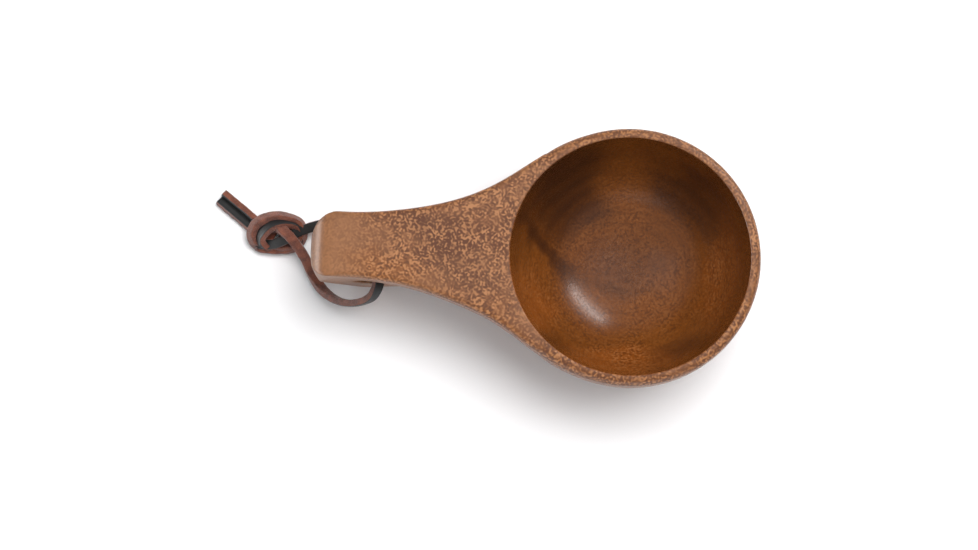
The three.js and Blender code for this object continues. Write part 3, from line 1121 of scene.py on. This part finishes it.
@dataclass
class CarvedCup:
    """The cup: a round bowl whose rim runs on into a flat handle, with a finger ring under the handle.

    Sizes are in millimetres.
    """

    height: float = 50.0
    mouth_radius: float = 45.0
    rim_thickness: float = 4.0
    floor_thickness: float = 6.0
    widest_drop: float = 5.0
    foot_radius: float = 19.0
    fullness: float = 2.2
    handle_length: float = 71.2
    handle_width: float = 25.0
    waist_setback: float = 13.0
    end_corner: float = 6.8
    back_corner: float = 11.5
    heel_width: float = 17.0
    end_crown: float = 42.0
    slab: float = 8.5
    end_top_rounding: float = 8.0
    heel_length: float = 13.5
    heel_setback: float = 29.0
    heel_rounding: float = 2.5
    arm: float = 12.0
    arm_sweep: float = 10.0
    hole_height: float = 16.0
    hole_length: float = 37.0
    end_wall: float = 16.5
    join_depth: float = 17.0
    lip: float = 0.7
    # The flare swells a little on both sides: how much, where along X and how far, and between which levels.
    flare_swell: float = 1.3
    swell_place: tuple[float, float] = (-36.0, 12.5)
    swell_levels: tuple[float, float] = (26.0, 40.0)
    # The handle leans a little to -Y: how much, and where along X and how far.
    handle_lean: float = 0.5
    lean_place: tuple[float, float] = (-64.0, 15.0)
    # Over what depth edges and joins are rounded.
    shoulder_blend: float = 3.4
    foot_blend: float = 1.6
    slab_blend: float = 1.8
    crisp_blend: float = 0.5
    end_blend: float = 0.3
    top_blend: float = 1.9
    corner_blend: float = 1.5
    ring_blend: float = 5.5
    hole_blend: float = 2.0
    low_hole_blend: float = 3.0
    arm_blend: float = 2.5
    bowl_blend: float = 9.0
    # Where that rounding sets in: between which distances to the sides, and between which levels.
    corner_sides: tuple[float, float] = (7.0, 11.0)
    corner_levels: tuple[float, float] = (41.0, 44.0)
    ring_levels: tuple[float, float] = (8.0, 34.0)
    bowl_sides: tuple[float, float] = (12.0, 30.0)
    join_rise: float = 4.0
    # The meshes: size of the quads, room around the cup, and the distance kept from the widest circle's box.
    pitch: float = 0.75
    quick_pitch: float = 1.1
    margin: float = 1.3
    hair: float = 0.002
    turns: int = 220
    section_steps: int = 80
    overshoot: float = 20.0
    cutter_overshoot: float = 2.0

    def __post_init__(self) -> None:
        """Works out the sizes that follow, and the outlines."""
        self.radius = self.mouth_radius + self.rim_thickness
        self.depth = self.height - self.floor_thickness
        self.reach = self.radius + self.handle_length
        self.half_width = self.handle_width / 2
        self.waist_x = self.waist_setback - self.reach
        self.widest = self.height - self.widest_drop
        self.drop = self.widest / math.sin(math.acos(self.foot_radius / self.radius))
        self.hole_top = self.height - self.slab
        self.underside = self.hole_top - self.hole_height - self.arm
        self.plan = Outline(self._plan())
        self.side = Outline(self._side())
        self.hole = Outline(self._hole())

    def _plan(self) -> list[tuple[float, float]]:
        """The handle's outline from above, closed straight across the bowl."""
        spread = 2 * (self.radius - self.half_width)
        flare = (self.waist_x**2 + self.half_width**2 - self.radius**2) / spread
        flare_y = self.half_width + flare
        meet = math.atan2(flare_y, -self.waist_x)
        crown_x = self.end_crown - self.reach
        shape: list[tuple[float, float]] = []
        for side, corner in ((1, self.back_corner), (-1, self.end_corner)):
            corner_y = self.half_width - corner
            lean = math.asin(corner_y / (self.end_crown - corner))
            corner_x = crown_x - (self.end_crown - corner) * math.cos(lean)
            half = arc((self.waist_x, flare_y), flare, -meet, -math.pi / 2, 40)
            half += arc((corner_x, corner_y), corner, math.pi / 2, math.pi - lean)
            half += arc((crown_x, 0.0), self.end_crown, math.pi - lean, math.pi, 12)
            shape += [(x, side * y) for x, y in half[::side]]
        return shape

    def _side(self) -> list[tuple[float, float]]:
        """The handle's outline from the side: the end leans in to the heel, which sweeps up into the arm."""
        inner = self.join_depth - self.radius
        heel_end = self.heel_setback - self.reach
        heel_start = heel_end - self.heel_length
        face_top = self.height - self.end_top_rounding
        top_x = self.end_top_rounding - self.reach
        above = self.height + self.overshoot
        shape = [(inner, above), (top_x, above), (top_x, self.height)]
        shape += arc((top_x, face_top), self.end_top_rounding, math.pi / 2, math.pi)
        upper_pull = (-self.reach, face_top * 0.6)
        lower_pull = ((heel_start - self.reach) / 2 - 1, face_top * 0.18)
        shape += bezier([(-self.reach, face_top), upper_pull, lower_pull, (heel_start, 0.0)])
        heel_centre = (heel_end - self.heel_rounding, self.heel_rounding)
        shape += arc(heel_centre, self.heel_rounding, -math.pi / 2, 0.0, 8)
        sweep_end = (heel_end + self.arm_sweep, self.underside)
        shape += bezier([(heel_end, self.heel_rounding), (heel_end, self.underside), sweep_end])
        return shape + [(inner, self.underside)]

    def _hole(self) -> list[tuple[float, float]]:
        """The finger hole from the side."""
        r = self.hole_height / 2
        level = self.hole_top - r
        left = self.end_wall - self.reach + r
        right = left + self.hole_length - self.hole_height
        quarter = math.pi / 2
        return arc((left, level), r, quarter, 3 * quarter) + arc((right, level), r, -quarter, quarter)

    def field(self, at: Points) -> np.ndarray:
        """How far places are outside the cup before it is hollowed, roughly, in millimetres.

        Args:
            at: The places.

        Returns:
            The distance, negative in the wood.
        """
        x, y, z = at.T
        top = z - self.height
        swell = self.flare_swell * hump(x, *self.swell_place) * ramp(z, *self.swell_levels)

        level = np.maximum(self.widest - z, 0.0)
        wall = (np.hypot(np.hypot(x, y) / self.radius, level / self.drop) - 1.0) * self.radius - swell
        bowl = smooth_max(wall, top, self.shoulder_blend)
        bowl = smooth_max(bowl, -z, self.foot_blend)

        plan = self.plan.distance(x, y + self.handle_lean * hump(x, *self.lean_place)) - swell
        side = self.side.distance(x, z)
        hole = self.hole.distance(x, z)
        end = self.end_top_rounding - self.reach
        edge = self.end_blend + self.top_blend * ramp(x, end - 0.5, end + 5.0)

        # The slab on top, from the handle's outline down to the hole.
        outer = ramp(np.abs(y), *self.corner_sides) * ramp(z, *self.corner_levels)
        slab = smooth_max(plan, side, self.crisp_blend + self.corner_blend * outer)
        slab = smooth_max(slab, self.hole_top - z, self.slab_blend)
        slab = smooth_max(slab, -hole, self.slab_blend)
        slab = smooth_max(slab, top, edge)

        # The ring under it, which narrows toward the table and is rounder there.
        low = 1.0 - ramp(z, *self.ring_levels)
        narrowing = (self.half_width - self.heel_width / 2) * (1.0 - z / self.hole_top)
        ring = np.maximum(np.abs(y) - self.half_width + narrowing, plan)
        ring = smooth_max(ring, side, self.crisp_blend + self.ring_blend * low)
        ring = smooth_max(ring, -hole, self.hole_blend + self.low_hole_blend * low)
        ring = smooth_max(ring, top, edge)

        under = 1.0 - ramp(z, self.hole_top - self.join_rise, self.hole_top)
        handle = smooth_min(slab, ring, self.arm_blend * under)
        inward = 1.0 - ramp(np.abs(y), *self.bowl_sides)
        return smooth_min(bowl, handle, self.bowl_blend * under * inward)

    def _body(self) -> bpy.types.Object:
        """The cup before it is hollowed."""
        pitch = self.pitch
        low = np.array([-self.reach - self.margin, -self.radius - self.margin, -self.margin])
        high = np.array([self.radius + self.margin, self.radius + self.margin, self.height + self.margin])
        corners, quads = skin(self.field, low, high, pitch)
        corners[:, 1] = np.clip(corners[:, 1], self.hair - self.radius, self.radius - self.hair)
        corners[:, 2] = np.clip(corners[:, 2], 0.0, self.height)
        return mesh_object("cup_body", corners * MM, quads)

    def _cutter(self) -> bpy.types.Object:
        """The hollow of the bowl with the softened lip of the rim, as a closed solid."""
        turns = self.turns
        above = self.height + self.cutter_overshoot
        profile = []
        for i in range(1, self.section_steps + 1):
            angle = math.pi / 2 * i / self.section_steps
            across = self.mouth_radius * math.sin(angle) ** (2 / self.fullness)
            down = self.depth * math.cos(angle) ** (2 / self.fullness)
            if down > self.lip:
                profile.append((across, self.height - down))
        lip_centre = self.mouth_radius + self.lip
        profile += arc((lip_centre, self.height - self.lip), self.lip, math.pi, math.pi / 2, 6)
        profile.append((lip_centre + 0.3, above))
        around = np.linspace(0, 2 * math.pi, turns, endpoint=False)
        rows = [np.stack([r * np.cos(around), r * np.sin(around), np.full(turns, z)], 1) for r, z in profile]
        vertices = np.vstack([*rows, [(0.0, 0.0, self.floor_thickness), (0.0, 0.0, above)]])
        faces = []
        for i in range(len(rows) - 1):
            for j in range(turns):
                k = (j + 1) % turns
                faces.append((i * turns + j, i * turns + k, (i + 1) * turns + k, (i + 1) * turns + j))
        last = (len(rows) - 1) * turns
        for j in range(turns):
            k = (j + 1) % turns
            faces.append((k, j, len(vertices) - 2))
            faces.append((last + j, last + k, len(vertices) - 1))
        return mesh_object("bowl_cutter", vertices * MM, faces)

    def build(self) -> bpy.types.Object:
        """Carves the cup and dresses it.

        Returns:
            The cup, riding on its body.
        """
        cup, cutter = self._body(), self._cutter()
        carve = cup.modifiers.new("hollow", "BOOLEAN")
        carve.operation = "DIFFERENCE"
        carve.solver = "MANIFOLD"
        carve.object = cutter
        shown = bpy.context.evaluated_depsgraph_get()
        mesh = bpy.data.meshes.new_from_object(cup.evaluated_get(shown))
        mesh.name = "carved_cup"
        mesh.materials.clear()
        mesh.shade_smooth()
        for spare in (cup, cutter):
            bpy.data.objects.remove(spare)
        piece = bpy.data.objects.new("carved_cup", mesh)
        bpy.context.scene.collection.objects.link(piece)
        radius = self.hole_height / 2
        cut = Hollows(
            mouth_radius=self.mouth_radius,
            bowl_depth=self.depth,
            fullness=self.fullness,
            rim=self.height,
            hole_middle=(self.end_wall - self.reach + self.hole_length / 2, self.hole_top - radius),
            hole_straight=self.hole_length / 2 - radius,
            hole_radius=radius,
        )
        piece.data.materials.append(OiledWood().dress(cut))
        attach(piece, "cup")
        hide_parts("cup")
        LOG.info("carved_cup: %d faces", len(mesh.polygons))
        return piece


# ---------------------------------------------------------------------------------------------------- studio


class Serves(Enum):
    """What a lamp is there for: to light surfaces, or to be mirrored in them."""

    SURFACES = 0
    REFLECTIONS = 1


@dataclass(frozen=True)
class Panel:
    """A soft lamp that faces the cup, with its direction from the cup, sizes in metres and power in watts."""

    name: str
    direction: Triple
    distance: float
    size: tuple[float, float]
    power: float
    serves: Serves


PANELS = (
    Panel("overhead", (0.24, 0.2, 1.0), 1.3, (0.9, 0.75), 17.5, Serves.SURFACES),
    Panel("veil", (-0.42, 0.12, 0.9), 1.3, (0.7, 0.7), 1.1, Serves.REFLECTIONS),
    Panel("streak", (0.55, 0.61, 0.62), 1.2, (0.72, 0.08), 5.5, Serves.REFLECTIONS),
    Panel("left", (-1.0, -0.1, 0.2), 1.0, (1.0, 0.48), 13.5, Serves.REFLECTIONS),
    Panel("front", (-0.1, -1.0, 0.22), 1.0, (1.5, 0.6), 6.0, Serves.REFLECTIONS),
)


@dataclass
class Studio:
    """The white table, the soft lights and the camera above it."""

    azimuth: float = 2.4
    elevation: float = 80.5
    distance: float = 0.9
    target: Triple = (-0.05273, -0.00457, 0.01929)
    lens: float = 85.77
    sensor: float = 36.0
    clip: tuple[float, float] = (0.01, 20.0)
    lit_place: Triple = (-0.03, 0.0, 0.03)
    surroundings: float = 0.55
    surroundings_colour: Colour = (0.97, 0.98, 1.0)
    table_reach: float = 1.6
    table_parts: int = 24

    def camera(self) -> None:
        """Places the camera."""
        data = bpy.data.cameras.new("camera")
        data.lens = self.lens
        data.sensor_width = self.sensor
        data.clip_start, data.clip_end = self.clip
        made = bpy.data.objects.new("camera", data)
        bpy.context.scene.collection.objects.link(made)
        a, e = math.radians(self.azimuth), math.radians(self.elevation)
        back = Vector((math.sin(a) * math.cos(e), -math.cos(a) * math.cos(e), math.sin(e)))
        made.location = Vector(self.target) + back * self.distance
        made.rotation_mode = "QUATERNION"
        made.rotation_quaternion = back.to_track_quat("Z", "Y")
        bpy.context.scene.camera = made

    def _hang(self, panel: Panel) -> None:
        """Hangs a panel so that it faces the cup.

        Args:
            panel: The panel.
        """
        data = bpy.data.lights.new(panel.name, "AREA")
        data.shape = "RECTANGLE"
        data.size, data.size_y = panel.size
        data.energy = panel.power
        lamp = bpy.data.objects.new(panel.name, data)
        bpy.context.scene.collection.objects.link(lamp)
        lamp.visible_diffuse = panel.serves is Serves.SURFACES
        lamp.visible_glossy = panel.serves is Serves.REFLECTIONS
        away = Vector(panel.direction).normalized()
        lamp.location = Vector(self.lit_place) + away * panel.distance
        lamp.rotation_mode = "QUATERNION"
        lamp.rotation_quaternion = away.to_track_quat("Z", "Y")

    def lights(self) -> None:
        """Hangs the lights and sets the surroundings."""
        for panel in PANELS:
            self._hang(panel)
        world = bpy.data.worlds.new("studio")
        world.use_nodes = True
        shade = world.node_tree.nodes["Background"]
        shade.inputs["Color"].default_value = (*self.surroundings_colour, 1.0)
        shade.inputs["Strength"].default_value = self.surroundings
        bpy.context.scene.world = world
        bpy.context.scene.view_settings.view_transform = "Standard"

    def table(self) -> None:
        """Lays the flat table top."""
        steps = np.linspace(-self.table_reach, self.table_reach, self.table_parts + 1)
        vertices = [(x, y, 0.0) for x in steps for y in steps]
        count = len(steps)
        faces = [
            (i * count + j, (i + 1) * count + j, (i + 1) * count + j + 1, i * count + j + 1)
            for i in range(count - 1)
            for j in range(count - 1)
        ]
        top = mesh_object("table_top", np.array(vertices), faces)
        top.data.materials.append(PaleTable().dress())


def main() -> None:
    """Builds the scene."""
    logging.basicConfig(level=logging.INFO, format="%(name)s: %(message)s")
    studio = Studio()
    studio.camera()
    Lace().build()
    CarvedCup().build()
    studio.table()
    studio.lights()


if __name__ == "__main__":
    main()
